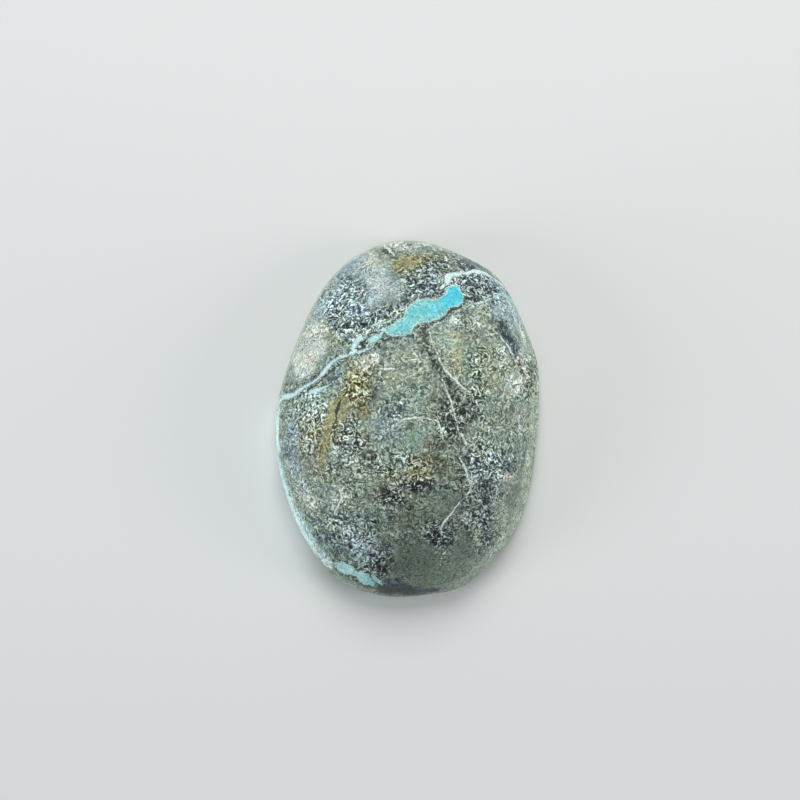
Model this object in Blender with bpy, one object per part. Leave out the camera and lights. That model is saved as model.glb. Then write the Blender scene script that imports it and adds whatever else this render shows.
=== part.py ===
# An oval turquoise stone in its host rock, ground to a low dome with a flat back.
# Sizes are in millimetres until MM turns them into metres. +Y is the long axis, +Z is up,
# and the stone rests on its flat back at z = 0.
import bpy
import bmesh
from math import atan2, cos, degrees, exp, hypot, sin, sqrt
from mathutils import Vector, noise

MM = 0.001

# The oval that the cutter aimed for
HALF_WIDTH = 11.0
HALF_LENGTH = 15.0

# Heights: the flat back is 0, the girdle is where the dome meets the wall
HEIGHT = 8.6
GIRDLE_HEIGHT = 3.0
FOOT_HEIGHT = 0.45
FOOT_INSET = 0.4

# Above 1, and the larger it is, the flatter the dome's sides are
DOME_SPREAD = 1.2

# How far the wall leans out from the girdle down to the foot, and how much more to one side
WALL_LEAN = 0.72
EXTRA_LEAN = 0.26
EXTRA_LEAN_DIRECTION = 0.0
WALL_ROUNDING = 0.8

# The polished edge between dome and wall
GIRDLE_SOFTENING = 0.38

# Flats (negative) and swells (positive) that the wheel left on the outline:
# direction in degrees from +X, depth, and spread in degrees
OUTLINE_WORK = (
    (354, -0.31, 25),   # long flat down the right side
    (28, 0.13, 7),      # unground skin above it
    (62, 0.50, 11),     # shoulder at the upper right
    (77, -0.55, 27),    # flat right of the top
    (98, 0.27, 32),
    (147, -0.45, 24),   # long flat at the upper left
    (249, 0.23, 8),     # corner at the lower left
    (276, -0.30, 17),   # flat along the bottom
    (291, 0.36, 8),     # sharper corner right of it
    (315, 0.37, 21),    # lower right, left full
)

# The flats and swells fade out from the girdle towards the top; a higher power fades them sooner
WORK_FADE = 5

# Broad unevenness of a dome worked by hand: size across, height
WAVES = ((9.0, 0.16), (3.6, 0.05))
WAVE_SEED = Vector((4.3, 1.7, 8.2))

# The unevenness grows from the foot up to this height
FOOT_FADE_HEIGHT = 2.0

# Chips and hollows: x, y, height of the centre, radius, depth
CHIPS = (
    (10.2, 6.1, 3.0, 1.2, 0.30),   # unground right side
    (10.4, 4.5, 2.3, 1.0, 0.30),
    (10.5, 2.9, 2.7, 0.9, 0.22),
    (10.6, 0.4, 1.9, 1.2, 0.20),
    (9.2, 8.3, 2.4, 1.2, 0.18),
    (7.9, 6.9, 5.2, 1.3, 0.12),    # under the dark streak at the upper right
    (-5.6, -12.7, 2.2, 1.3, 0.16),
    (-10.2, 1.1, 3.3, 1.0, 0.12),  # where the vein leaves the left side
    (3.0, -9.6, 5.6, 1.5, 0.12),   # dark spot at the lower right
    (-0.9, -6.7, 7.2, 1.4, 0.12),  # brown hollow below the middle
    (2.4, 4.0, 7.9, 1.1, 0.10),    # along the fracture
    (-4.0, 5.9, 7.0, 1.0, 0.12),   # small ring beside the vein
)

# Mesh: cells across the dome, rows down the wall, steps round the girdle, and the turn in radians
# above which an edge is shaded sharp
DOME_CELLS = 50
WALL_ROWS = 5
GIRDLE_STEPS = 2
SHARP_ANGLE = 0.6

STONE_COLOUR = (0.26, 0.31, 0.28, 1.0)
STONE_ROUGHNESS = 0.42


def clear_scene():
    for item in list(bpy.data.objects):
        bpy.data.objects.remove(item, do_unlink=True)


def outline_radius(angle, work=1):
    """Distance from the middle to the foot of the wall, in plan, with its share of the flats."""
    radius = 1 / hypot(cos(angle) / HALF_WIDTH, sin(angle) / HALF_LENGTH)
    for direction, depth, spread in OUTLINE_WORK:
        turn = (degrees(angle) - direction + 180) % 360 - 180
        radius += work * depth * exp(-(turn / spread) ** 2)
    return radius


def girdle_radius(angle, work=1):
    """Distance from the middle to the edge of the dome, in plan, with its share of the flats."""
    lean = WALL_LEAN + EXTRA_LEAN * cos(angle - EXTRA_LEAN_DIRECTION)
    return outline_radius(angle, work) - lean


def dome_height(reach):
    """Height of the dome, where reach runs from 0 in the middle to 1 at the girdle."""
    rim = sqrt(DOME_SPREAD ** 2 - 1)
    rise = (sqrt(DOME_SPREAD ** 2 - reach ** 2) - rim) / (DOME_SPREAD - rim)
    return GIRDLE_HEIGHT + (HEIGHT - GIRDLE_HEIGHT) * rise


def dome_point(across, along):
    """Place on the dome of a point of a square that runs from -1 to 1 both ways."""
    x = across * sqrt(1 - along ** 2 / 2)
    y = along * sqrt(1 - across ** 2 / 2)
    reach = min(hypot(x, y), 1)
    angle = atan2(y * HALF_LENGTH, x * HALF_WIDTH)
    radius = reach * girdle_radius(angle, reach ** WORK_FADE)
    return Vector((radius * cos(angle), radius * sin(angle), dome_height(reach)))


def wall_point(angle, down):
    """Place on the wall, where down runs from 0 at the girdle to 1 at the foot."""
    top = girdle_radius(angle)
    radius = top + (outline_radius(angle) - top) * down ** WALL_ROUNDING
    height = GIRDLE_HEIGHT + (FOOT_HEIGHT - GIRDLE_HEIGHT) * down
    return Vector((radius * cos(angle), radius * sin(angle), height))


def back_point(angle):
    """Place on the edge of the flat back, inside the small bevel at the foot."""
    radius = outline_radius(angle) - FOOT_INSET
    return Vector((radius * cos(angle), radius * sin(angle), 0))


def extend_rim(bm, rim, place):
    """Adds one row of faces below the open rim, each new point placed by its angle."""
    made = bmesh.ops.extrude_edge_only(bm, edges=rim)["geom"]
    for item in made:
        if isinstance(item, bmesh.types.BMVert):
            item.co = place(atan2(item.co.y, item.co.x))
    return [item for item in made if isinstance(item, bmesh.types.BMEdge) and item.is_boundary]


def unevenness(place):
    """How far the real surface stands off the smooth one, outwards; little of it near the foot."""
    offset = 0
    for size, height in WAVES:
        offset += height * noise.noise(place / size + WAVE_SEED)
    for x, y, z, radius, depth in CHIPS:
        away = (place - Vector((x, y, z))).length / radius
        offset -= depth * max(0, 1 - away ** 2)
    return offset * min(1, place.z / FOOT_FADE_HEIGHT)


def stone_material():
    material = bpy.data.materials.new("polished_stone")
    material.use_nodes = True
    shader = material.node_tree.nodes["Principled BSDF"]
    shader.inputs["Base Color"].default_value = STONE_COLOUR
    shader.inputs["Roughness"].default_value = STONE_ROUGHNESS
    shader.inputs["Metallic"].default_value = 0
    return material


def build_stone(collection):
    bm = bmesh.new()
    bmesh.ops.create_grid(bm, x_segments=DOME_CELLS, y_segments=DOME_CELLS, size=1)
    for vert in bm.verts:
        vert.co = dome_point(vert.co.x, vert.co.y)

    rim = [edge for edge in bm.edges if edge.is_boundary]
    girdle = list(rim)
    for row in range(1, WALL_ROWS + 1):
        down = row / WALL_ROWS
        rim = extend_rim(bm, rim, lambda angle: wall_point(angle, down))
    rim = extend_rim(bm, rim, back_point)
    bmesh.ops.edgeloop_fill(bm, edges=rim)
    bmesh.ops.recalc_face_normals(bm, faces=bm.faces)
    bmesh.ops.bevel(bm, geom=girdle, offset=GIRDLE_SOFTENING, offset_type="OFFSET",
                    segments=GIRDLE_STEPS, profile=0.5, affect="EDGES", material=-1)

    bm.normal_update()
    above_back = [vert for vert in bm.verts if vert.co.z > 0]
    moves = [(vert, vert.normal * unevenness(vert.co)) for vert in above_back]
    for vert, move in moves:
        vert.co += move

    bmesh.ops.triangulate(bm, faces=bm.faces, quad_method="SHORT_EDGE")
    xs = [vert.co.x for vert in bm.verts]
    ys = [vert.co.y for vert in bm.verts]
    middle = Vector(((min(xs) + max(xs)) / 2, (min(ys) + max(ys)) / 2, 0))
    for vert in bm.verts:
        vert.co = (vert.co - middle) * MM

    mesh = bpy.data.meshes.new("turquoise_stone")
    bm.to_mesh(mesh)
    bm.free()
    mesh.shade_smooth()
    mesh.set_sharp_from_angle(angle=SHARP_ANGLE)
    mesh.materials.append(stone_material())
    stone = bpy.data.objects.new("turquoise_stone", mesh)
    collection.objects.link(stone)
    return stone


def main():
    clear_scene()
    collection = bpy.data.collections.new("turquoise_cabochon")
    bpy.context.scene.collection.children.link(collection)
    build_stone(collection)


main()
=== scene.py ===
from math import cos, radians, sin, tan

import bmesh
import bpy
import numpy as np
from mathutils import Matrix, Vector, noise


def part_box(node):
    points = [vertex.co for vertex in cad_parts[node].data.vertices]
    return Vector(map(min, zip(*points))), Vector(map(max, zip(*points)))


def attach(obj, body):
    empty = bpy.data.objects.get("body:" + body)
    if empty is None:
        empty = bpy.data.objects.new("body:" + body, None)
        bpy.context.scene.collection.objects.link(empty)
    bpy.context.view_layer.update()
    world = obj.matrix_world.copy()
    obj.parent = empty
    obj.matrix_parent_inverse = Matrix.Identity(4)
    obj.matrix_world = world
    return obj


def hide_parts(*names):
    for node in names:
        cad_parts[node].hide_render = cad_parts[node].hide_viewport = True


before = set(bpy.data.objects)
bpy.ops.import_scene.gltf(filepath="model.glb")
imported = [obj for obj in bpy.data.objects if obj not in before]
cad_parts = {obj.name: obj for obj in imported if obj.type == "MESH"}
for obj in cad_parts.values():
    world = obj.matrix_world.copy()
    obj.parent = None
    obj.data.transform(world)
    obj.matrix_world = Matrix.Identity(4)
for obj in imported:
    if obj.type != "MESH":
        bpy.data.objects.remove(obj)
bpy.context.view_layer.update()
print("frame loaded")

mm = 0.001

# The camera looks almost straight down. Sizes here are in millimetres, as in the whole script
# until the finished mesh is turned into metres.
viewFrom = {
    "lens": 100,
    "sensor": 36,
    "pictureWidth": 800,        # pixels
    "pixelsPerMm": 12.13,       # at the height of the stone's edge
    "edgeHeight": 1.0,
    "stoneAt": (408.5, 418.0),  # the middle of the stone in the picture
    "lean": 3.8,                # degrees, the stone's top end to the right
    "tiltDown": 5.5,            # degrees off straight above, towards the foot of the picture
    "tiltRight": 1.5,
    "clip": (0.01, 10),         # metres
}


def pictureFrame():
    # Right, up and back directions of the picture, in the cutter's own millimetres
    lean = radians(viewFrom["lean"])
    right = Vector((cos(lean), sin(lean), 0))
    up = Vector((-sin(lean), cos(lean), 0))
    tiltDown, tiltRight = tan(radians(viewFrom["tiltDown"])), tan(radians(viewFrom["tiltRight"]))
    back = Vector((0, 0, 1)) - up * tiltDown + right * tiltRight
    back.normalize()
    right = up.cross(back).normalized()
    return right, back.cross(right), back


def cameraPlace():
    # Where the camera stands, so that the stone has its size and its place in the picture
    right, up, back = pictureFrame()
    width = viewFrom["pictureWidth"] / viewFrom["pixelsPerMm"]
    distance = width * viewFrom["lens"] / viewFrom["sensor"]
    acrossOff = (viewFrom["pictureWidth"] / 2 - viewFrom["stoneAt"][0]) / viewFrom["pixelsPerMm"]
    upOff = (viewFrom["stoneAt"][1] - viewFrom["pictureWidth"] / 2) / viewFrom["pixelsPerMm"]
    middle = Vector((0, 0, viewFrom["edgeHeight"]))
    return middle + right * acrossOff + up * upOff + back * distance, distance


def asSeen(places):
    # Plan coordinates, as the camera sees them, of points on the stone; the marks are drawn in these
    right, up, back = (np.array(axis) for axis in pictureFrame())
    eye, distance = cameraPlace()
    toPlaces = places - np.array(eye)
    toMiddle = np.array((0, 0, viewFrom["edgeHeight"])) - np.array(eye)
    depth, middleDepth = -(toPlaces @ back), -(toMiddle @ back)
    across = toPlaces @ right / depth - toMiddle @ right / middleDepth
    upward = toPlaces @ up / depth - toMiddle @ up / middleDepth
    lean = radians(viewFrom["lean"])
    x = distance * (across * cos(lean) - upward * sin(lean))
    y = distance * (across * sin(lean) + upward * cos(lean))
    return np.stack((x, y), axis=1)


def inScene(name, data):
    item = bpy.data.objects.new(name, data)
    bpy.context.scene.collection.objects.link(item)
    return item


def makeCamera(shift):
    right, up, back = pictureFrame()
    eye = cameraPlace()[0]
    data = bpy.data.cameras.new("camera")
    data.lens = viewFrom["lens"]
    data.sensor_width = viewFrom["sensor"]
    data.clip_start, data.clip_end = viewFrom["clip"]
    camera = inScene("camera", data)
    turn = Matrix((right, up, back)).transposed().to_4x4()
    camera.matrix_world = Matrix.Translation((eye + shift) * mm) @ turn
    bpy.context.scene.camera = camera


studio = {
    "floorSize": 2400,
    "floorColour": (0.74, 0.74, 0.73),
    "floorRoughness": 0.8,
    "skyColour": (0.80, 0.84, 0.88),
    "skyStrength": 0.4,
    # name: direction from +Y turning to -X, height in degrees, distance, size, watts, colour
    "lamps": {
        "windowLight": (4, 49, 300, 180, 0.60, (0.97, 1.0, 0.985)),
        "leftLight": (112, 20, 380, 150, 0.46, (0.86, 0.95, 1.0)),
        "rightLight": (-95, 24, 380, 150, 0.37, (1.0, 0.985, 0.96)),
    },
}


def makeFloor():
    bm = bmesh.new()
    bmesh.ops.create_grid(bm, x_segments=1, y_segments=1, size=studio["floorSize"] / 2 * mm)
    mesh = bpy.data.meshes.new("floor")
    bm.to_mesh(mesh)
    bm.free()
    material = bpy.data.materials.new("paleFloor")
    material.use_nodes = True
    shader = material.node_tree.nodes["Principled BSDF"]
    shader.inputs["Base Color"].default_value = (*studio["floorColour"], 1)
    shader.inputs["Roughness"].default_value = studio["floorRoughness"]
    mesh.materials.append(material)
    floor = inScene("floor", mesh)


def makeLights():
    sky = bpy.data.worlds.new("sky")
    sky.use_nodes = True
    background = sky.node_tree.nodes["Background"]
    background.inputs["Color"].default_value = (*studio["skyColour"], 1)
    background.inputs["Strength"].default_value = studio["skyStrength"]
    bpy.context.scene.world = sky
    bpy.context.scene.view_settings.view_transform = "Standard"

    for name, (turn, height, distance, size, power, colour) in studio["lamps"].items():
        data = bpy.data.lights.new(name, "AREA")
        data.size = size * mm
        data.energy = power
        data.color = colour
        lamp = inScene(name, data)
        flat = cos(radians(height))
        toLamp = Vector((-sin(radians(turn)) * flat, cos(radians(turn)) * flat, sin(radians(height))))
        lamp.location = toLamp * distance * mm
        lamp.rotation_mode = "QUATERNION"
        lamp.rotation_quaternion = toLamp.to_track_quat("Z", "Y")


# The stone as it was ground: the same values as the solid it stands for
stoneShape = {
    "halfWidth": 11.0,
    "halfLength": 15.0,
    "height": 8.6,
    "girdleHeight": 3.0,
    "footHeight": 0.45,
    "footInset": 0.4,
    "domeSpread": 1.2,
    "wallLean": 0.72,
    "extraLean": 0.26,
    "wallRounding": 0.8,
    "workFade": 5,
    # direction in degrees, depth, spread in degrees of each flat (negative) and swell
    "outlineWork": (
        (354, -0.31, 25), (28, 0.13, 7), (62, 0.50, 11), (77, -0.55, 27), (98, 0.27, 32),
        (147, -0.45, 24), (249, 0.23, 8), (276, -0.30, 17), (291, 0.36, 8), (315, 0.37, 21),
    ),
    "waves": ((9.0, 0.16), (3.6, 0.05)),   # size across, height
    "waveSeed": (4.3, 1.7, 8.2),
    "footFadeHeight": 2.0,
    # x, y, height, radius, depth
    "chips": (
        (10.2, 6.1, 3.0, 1.2, 0.30), (10.4, 4.5, 2.3, 1.0, 0.30), (10.5, 2.9, 2.7, 0.9, 0.22),
        (10.6, 0.4, 1.9, 1.2, 0.20), (9.2, 8.3, 2.4, 1.2, 0.18), (7.9, 6.9, 5.2, 1.3, 0.12),
        (-5.6, -12.7, 2.2, 1.3, 0.16), (-10.2, 1.1, 3.3, 1.0, 0.12), (3.0, -9.6, 5.6, 1.5, 0.12),
        (-0.9, -6.7, 7.2, 1.4, 0.12), (2.4, 4.0, 7.9, 1.1, 0.10), (-4.0, 5.9, 7.0, 1.0, 0.12),
    ),
    "cells": 276,             # across the dome
    "wallRows": 14,           # rows of cells down the wall
    "footRows": 2,            # down the bevel at the foot
    # heights of the points that are softened, and how many times over
    "girdleBand": (2.5, 3.5),
    "girdlePasses": 12,
    "footBand": (0.01, 0.8),
    "footPasses": 2,
    "softening": 0.5,
}


def outlineRadius(angle, work):
    # From the middle to the foot of the wall, in plan, with the given share of flats and swells
    radius = 1 / np.hypot(np.cos(angle) / stoneShape["halfWidth"], np.sin(angle) / stoneShape["halfLength"])
    for direction, depth, spread in stoneShape["outlineWork"]:
        turn = (np.degrees(angle) - direction + 180) % 360 - 180
        radius = radius + work * depth * np.exp(-(turn / spread) ** 2)
    return radius


def girdleRadius(angle, work):
    return outlineRadius(angle, work) - stoneShape["wallLean"] - stoneShape["extraLean"] * np.cos(angle)


def domeHeight(reach):
    # Where reach runs from 0 in the middle to 1 at the girdle
    spread = stoneShape["domeSpread"]
    rim = (spread ** 2 - 1) ** 0.5
    rise = (np.sqrt(spread ** 2 - reach ** 2) - rim) / (spread - rim)
    return stoneShape["girdleHeight"] + (stoneShape["height"] - stoneShape["girdleHeight"]) * rise


def block():
    # A square of small cells for the dome, with rows below its rim for the wall, the bevel at the
    # foot and the edge of the back. Each point keeps the number of its row; the dome's is 0
    bm = bmesh.new()
    row = bm.verts.layers.int.new("row")
    bmesh.ops.create_grid(bm, x_segments=stoneShape["cells"], y_segments=stoneShape["cells"], size=1)
    rim = [edge for edge in bm.edges if edge.is_boundary]
    for number in range(1, stoneShape["wallRows"] + stoneShape["footRows"] + 2):
        made = bmesh.ops.extrude_edge_only(bm, edges=rim)["geom"]
        for item in made:
            if isinstance(item, bmesh.types.BMVert):
                item[row] = number
        rim = [item for item in made if isinstance(item, bmesh.types.BMEdge) and item.is_boundary]
    bmesh.ops.edgeloop_fill(bm, edges=rim)
    return bm, np.array([vert[row] for vert in bm.verts])


def ground(across, along, rows):
    # Where the wheel left each point of the block
    x = across * np.sqrt(1 - along ** 2 / 2)
    y = along * np.sqrt(1 - across ** 2 / 2)
    reach = np.minimum(np.hypot(x, y), 1)
    angle = np.arctan2(y * stoneShape["halfLength"], x * stoneShape["halfWidth"])

    wallRows, footRows = stoneShape["wallRows"], stoneShape["footRows"]
    wall = np.clip(rows / wallRows, 0, 1)
    bevel = np.clip((rows - wallRows) / footRows, 0, 1)
    inward = np.clip(rows - wallRows - footRows, 0, 1)
    outer, top = outlineRadius(angle, 1), girdleRadius(angle, 1)
    radius = top + (outer - top) * wall ** stoneShape["wallRounding"]
    radius = radius - stoneShape["footInset"] * (bevel + inward)
    height = stoneShape["girdleHeight"] + (stoneShape["footHeight"] - stoneShape["girdleHeight"]) * wall
    height = height - stoneShape["footHeight"] * bevel

    onTop = rows == 0
    radius = np.where(onTop, reach * girdleRadius(angle, reach ** stoneShape["workFade"]), radius)
    height = np.where(onTop, domeHeight(reach), height)
    return np.stack((radius * np.cos(angle), radius * np.sin(angle), height), axis=1)


def noiseAt(places, size, seed):
    # Smooth noise from -1 to 1 that turns over about every size millimetres
    offset = Vector(seed)
    return np.array([noise.noise(Vector(place) / size + offset) for place in places.tolist()])


def noisePair(places, size, seeds):
    return np.stack([noiseAt(places, size, seed) for seed in seeds], axis=1)


def unevenness(places):
    # How far the worked surface stands off the smooth one, with its chips and hollows
    offset = np.zeros(len(places))
    for size, height in stoneShape["waves"]:
        offset += height * noiseAt(places, size, stoneShape["waveSeed"])
    for x, y, z, radius, depth in stoneShape["chips"]:
        away = np.linalg.norm(places - np.array((x, y, z)), axis=1) / radius
        offset -= depth * np.clip(1 - away ** 2, 0, None)
    return offset * np.minimum(1, places[:, 2] / stoneShape["footFadeHeight"])


# Lines in the stone as they are seen from the camera: x, y and half the width at each point. Each
# kind is the edge of sheets that travel sideways by so much for each millimetre down. Where the width
# is negative, a line shows only where its edge is frayed
veins = {
    "turquoiseBody": ((
        ((-5.2, -12.4, 0.12), (-4.7, -12.6, 0.38), (-4.1, -12.8, 0.34), (-3.75, -13.05, 0.1),
         (-3.4, -13.2, 0.14), (-3.0, -13.3, 0.36), (-2.6, -13.5, 0.3), (-2.1, -13.8, 0.12)),
        ((-2.1, -13.0, 0.02), (-1.8, -13.4, 0.07), (-1.3, -13.7, 0.03)),
        ((-3.65, 6.15, 0.08), (-3.2, 6.35, 0.24), (-2.8, 6.6, 0.14), (-2.55, 6.85, 0.05)),
        ((6.45, 10.35, 0.04), (6.8, 10.6, 0.12), (7.25, 10.8, 0.17), (7.55, 10.6, 0.08)),
    ), (0.25, -0.3)),
    "paleVein": ((
        ((-4.95, 5.4, 0.1), (-4.75, 5.8, 0.2), (-4.55, 6.15, 0.2), (-4.15, 6.35, 0.08), (-3.7, 6.4, 0.05)),
        ((-4.3, 6.75, 0.03), (-4.0, 6.6, 0.08), (-3.8, 6.5, 0.03)),
        ((-4.2, 7.2, 0.02), (-3.6, 7.35, 0.07), (-3.0, 7.6, 0.08), (-2.3, 7.75, 0.1), (-1.6, 8.15, 0.06)),
        ((-5.6, 4.7, 0.03), (-4.9, 5.0, 0.06), (-4.0, 5.35, 0.07), (-3.2, 5.75, 0.03)),
        ((-11.2, 0.75, 0.3), (-10.6, 0.95, 0.22), (-10.0, 1.15, 0.2), (-9.3, 1.5, 0.15), (-8.6, 2.0, 0.12),
         (-8.0, 2.55, 0.1), (-7.3, 3.2, 0.12), (-6.6, 4.1, 0.17), (-6.0, 4.6, 0.13), (-5.3, 4.95, 0.1),
         (-4.7, 5.3, 0.12)),
        ((-8.6, 1.3, 0.03), (-8.1, 1.6, 0.16), (-7.6, 1.85, 0.18), (-7.1, 2.1, 0.1), (-6.6, 2.4, 0.0)),
        ((-3.2, 6.6, 0.08), (-2.7, 6.85, 0.07), (-2.3, 7.1, 0.1)),
        ((3.9, 9.85, 0.03), (4.7, 9.75, 0.0), (5.4, 9.95, 0.05), (6.1, 10.25, 0.06), (6.6, 10.5, 0.12)),
        ((-6.7, 11.0, -0.06), (-6.45, 10.2, -0.02), (-6.75, 9.3, -0.04), (-6.5, 8.5, -0.02),
         (-6.0, 7.6, -0.05)),
    ), (0.25, -0.3)),
    "whiteVein": ((
        ((2.55, 11.25, 0.2), (2.45, 11.75, 0.26), (2.9, 12.05, 0.15), (4.0, 12.15, 0.12),
         (4.6, 12.45, 0.2), (5.2, 12.4, 0.22), (5.8, 12.25, 0.14), (6.5, 12.0, 0.09), (7.1, 11.5, 0.03)),
        ((2.4, 11.35, 0.12), (2.1, 11.0, 0.14), (1.85, 10.8, 0.02)),
    ), (0.25, -0.3)),
    "paleCrack": ((
        ((1.3, 7.2, 0.02), (1.75, 5.9, 0.03), (2.3, 4.9, 0.03), (2.8, 4.1, 0.06), (3.4, 3.6, 0.07),
         (4.3, 2.85, 0.05), (4.9, 2.5, 0.01)),
        ((2.5, 3.5, 0.02), (3.0, 2.4, 0.03), (3.5, 1.5, 0.06), (3.65, 1.0, 0.07), (3.95, 0.1, 0.05),
         (4.2, -0.7, 0.04)),
        ((4.25, -0.95, 0.03), (4.6, -1.2, 0.06), (4.9, -1.85, 0.04)),
        ((-1.0, -0.6, 0.01), (-0.5, -0.15, 0.03), (0.4, 0.0, 0.05), (1.5, 0.02, 0.03), (2.25, -0.1, 0.04),
         (2.7, -0.75, 0.07), (2.95, -1.6, 0.04), (3.5, -2.1, 0.03)),
        ((4.35, -2.95, 0.03), (4.8, -3.6, 0.05), (5.2, -4.4, 0.06), (5.5, -5.3, 0.04)),
        ((5.5, -5.3, 0.04), (5.4, -5.75, 0.02), (4.9, -6.4, 0.01), (4.6, -6.9, 0.03), (4.0, -7.6, 0.05),
         (3.5, -8.4, 0.05), (3.2, -9.0, 0.01)),
        ((-3.1, 3.8, 0.03), (-2.3, 3.85, 0.04), (-1.4, 4.0, 0.01)),
        ((3.9, -10.6, -0.02), (3.5, -11.2, 0.01), (3.4, -11.9, 0.01), (4.0, -12.4, -0.02)),
        ((-5.5, 11.65, 0.01), (-4.7, 12.15, 0.03), (-3.9, 12.55, 0.02), (-3.3, 12.95, 0.01)),
        ((-3.1, 14.1, 0.03), (-2.6, 13.75, 0.05), (-2.1, 13.3, 0.01)),
        ((7.0, 7.35, 0.01), (7.6, 6.7, 0.04), (8.3, 5.75, 0.04), (8.9, 4.6, 0.01)),
        ((-5.2, -6.2, 0.01), (-5.1, -6.9, 0.04), (-5.3, -7.6, 0.03), (-5.5, -8.3, 0.01)),
    ), (0.1, 0.05)),
    "hairCrack": ((
        ((-5.5, 1.15, 0.02), (-5.7, 0.8, 0.06), (-5.95, 0.1, 0.07), (-5.9, -0.6, 0.06),
         (-6.1, -1.05, 0.05), (-5.9, -1.7, 0.07), (-6.0, -2.4, 0.03)),
        ((-9.6, 0.85, 0.0), (-8.7, 1.5, 0.02), (-7.9, 2.2, 0.03), (-7.1, 3.0, 0.02), (-6.4, 3.7, 0.03),
         (-5.7, 4.3, 0.0)),
    ), (0.1, 0.05)),
    # pale skin down the left side, partly a painted highlight where the light from the left catches the
    # wall
    "paleSkinAndHighlight": ((
        ((-11.0, 0.7, 0.2), (-10.85, -1.5, 0.22), (-10.55, -4.0, 0.16), (-10.0, -6.0, 0.2),
         (-9.1, -8.0, 0.3), (-8.0, -9.8, 0.36), (-6.9, -11.2, 0.3), (-5.6, -12.5, 0.2)),
    ), (0, 0)),
    "darkCrack": ((
        ((0.6, 7.3, 0.16), (1.1, 6.4, 0.12), (1.4, 5.5, 0.08), (2.0, 4.6, 0.09), (2.5, 3.9, 0.12),
         (3.0, 3.0, 0.12), (3.4, 2.0, 0.04), (3.5, 1.2, 0.01)),
        ((3.95, 10.3, 0.02), (3.85, 9.75, 0.04), (3.3, 9.3, 0.06), (2.75, 9.1, 0.04), (2.3, 8.4, 0.05),
         (1.6, 7.95, 0.08), (0.8, 7.6, 0.1), (0.1, 7.3, 0.06)),
        ((7.0, 8.3, 0.0), (7.4, 7.5, 0.1), (7.9, 6.8, 0.11), (8.3, 6.2, 0.08), (8.5, 5.7, 0.04),
         (8.9, 4.9, 0.04), (9.2, 4.1, 0.01)),
        ((-4.3, 5.15, 0.04), (-3.6, 5.55, 0.06), (-2.8, 5.9, 0.06), (-1.9, 6.5, 0.12), (-1.0, 6.75, 0.1),
         (-0.2, 6.75, 0.13), (0.5, 7.1, 0.1)),
        ((1.6, -5.5, 0.08), (2.6, -5.45, 0.06), (3.6, -5.5, 0.09), (4.5, -5.7, 0.03)),
        ((-9.0, 1.95, 0.01), (-8.2, 2.75, 0.05), (-7.6, 3.25, 0.03)),
        ((0.1, 10.2, 0.02), (1.2, 10.25, 0.07), (2.2, 10.45, 0.06)),
        ((3.9, 10.2, 0.08), (4.6, 10.1, 0.09), (5.3, 10.35, 0.04), (6.0, 10.9, 0.02)),
        ((2.9, 11.7, 0.01), (3.4, 11.35, 0.04), (3.8, 10.9, 0.06), (4.2, 10.7, 0.01)),
        ((-4.45, 5.7, 0.03), (-4.15, 6.0, 0.03), (-3.8, 5.9, 0.04), (-3.9, 5.6, 0.03), (-4.3, 5.5, 0.02)),
        ((-0.6, 14.6, 0.02), (0.1, 14.65, 0.04), (0.5, 14.6, 0.01)),
        ((-1.3, 14.25, 0.03), (-0.8, 14.2, 0.02)),
        ((1.9, 14.15, 0.02), (2.6, 13.9, 0.05), (2.9, 13.75, 0.01)),
        ((-2.9, 13.5, 0.03), (-2.5, 13.55, 0.04)),
        ((9.75, 6.7, 0.01), (9.9, 6.1, 0.06), (9.95, 5.6, 0.03)),
        ((10.1, 5.3, 0.04), (10.3, 4.6, 0.07), (10.25, 4.1, 0.02)),
        ((10.35, 3.6, 0.02), (10.45, 3.0, 0.05), (10.4, 2.5, 0.02)),
        ((8.5, 3.5, 0.04), (8.5, 3.1, 0.03)),
        ((8.7, 2.7, 0.02), (8.75, 2.1, 0.05)),
        ((9.6, 4.6, 0.02), (9.75, 3.8, 0.04), (9.7, 3.2, 0.01)),
    ), (0.1, 0.05)),
}

# Outline of the biggest turquoise, also as seen from the camera
turquoisePatch = (
    (-2.6, 7.1), (-2.0, 7.5), (-1.4, 7.95), (-0.85, 8.25), (-0.75, 8.9), (-0.4, 9.4), (0.1, 9.85),
    (1.8, 9.95), (2.3, 10.3), (2.45, 10.9), (2.9, 11.25), (3.4, 11.0), (3.65, 10.6), (3.8, 10.2),
    (3.7, 9.8), (3.3, 9.5), (2.8, 9.4), (2.5, 8.9), (2.0, 8.4), (1.5, 8.2), (0.9, 7.9), (0.3, 7.8),
    (0.0, 7.5), (-0.3, 7.0), (-1.4, 6.65), (-2.1, 6.75),
)

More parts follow.
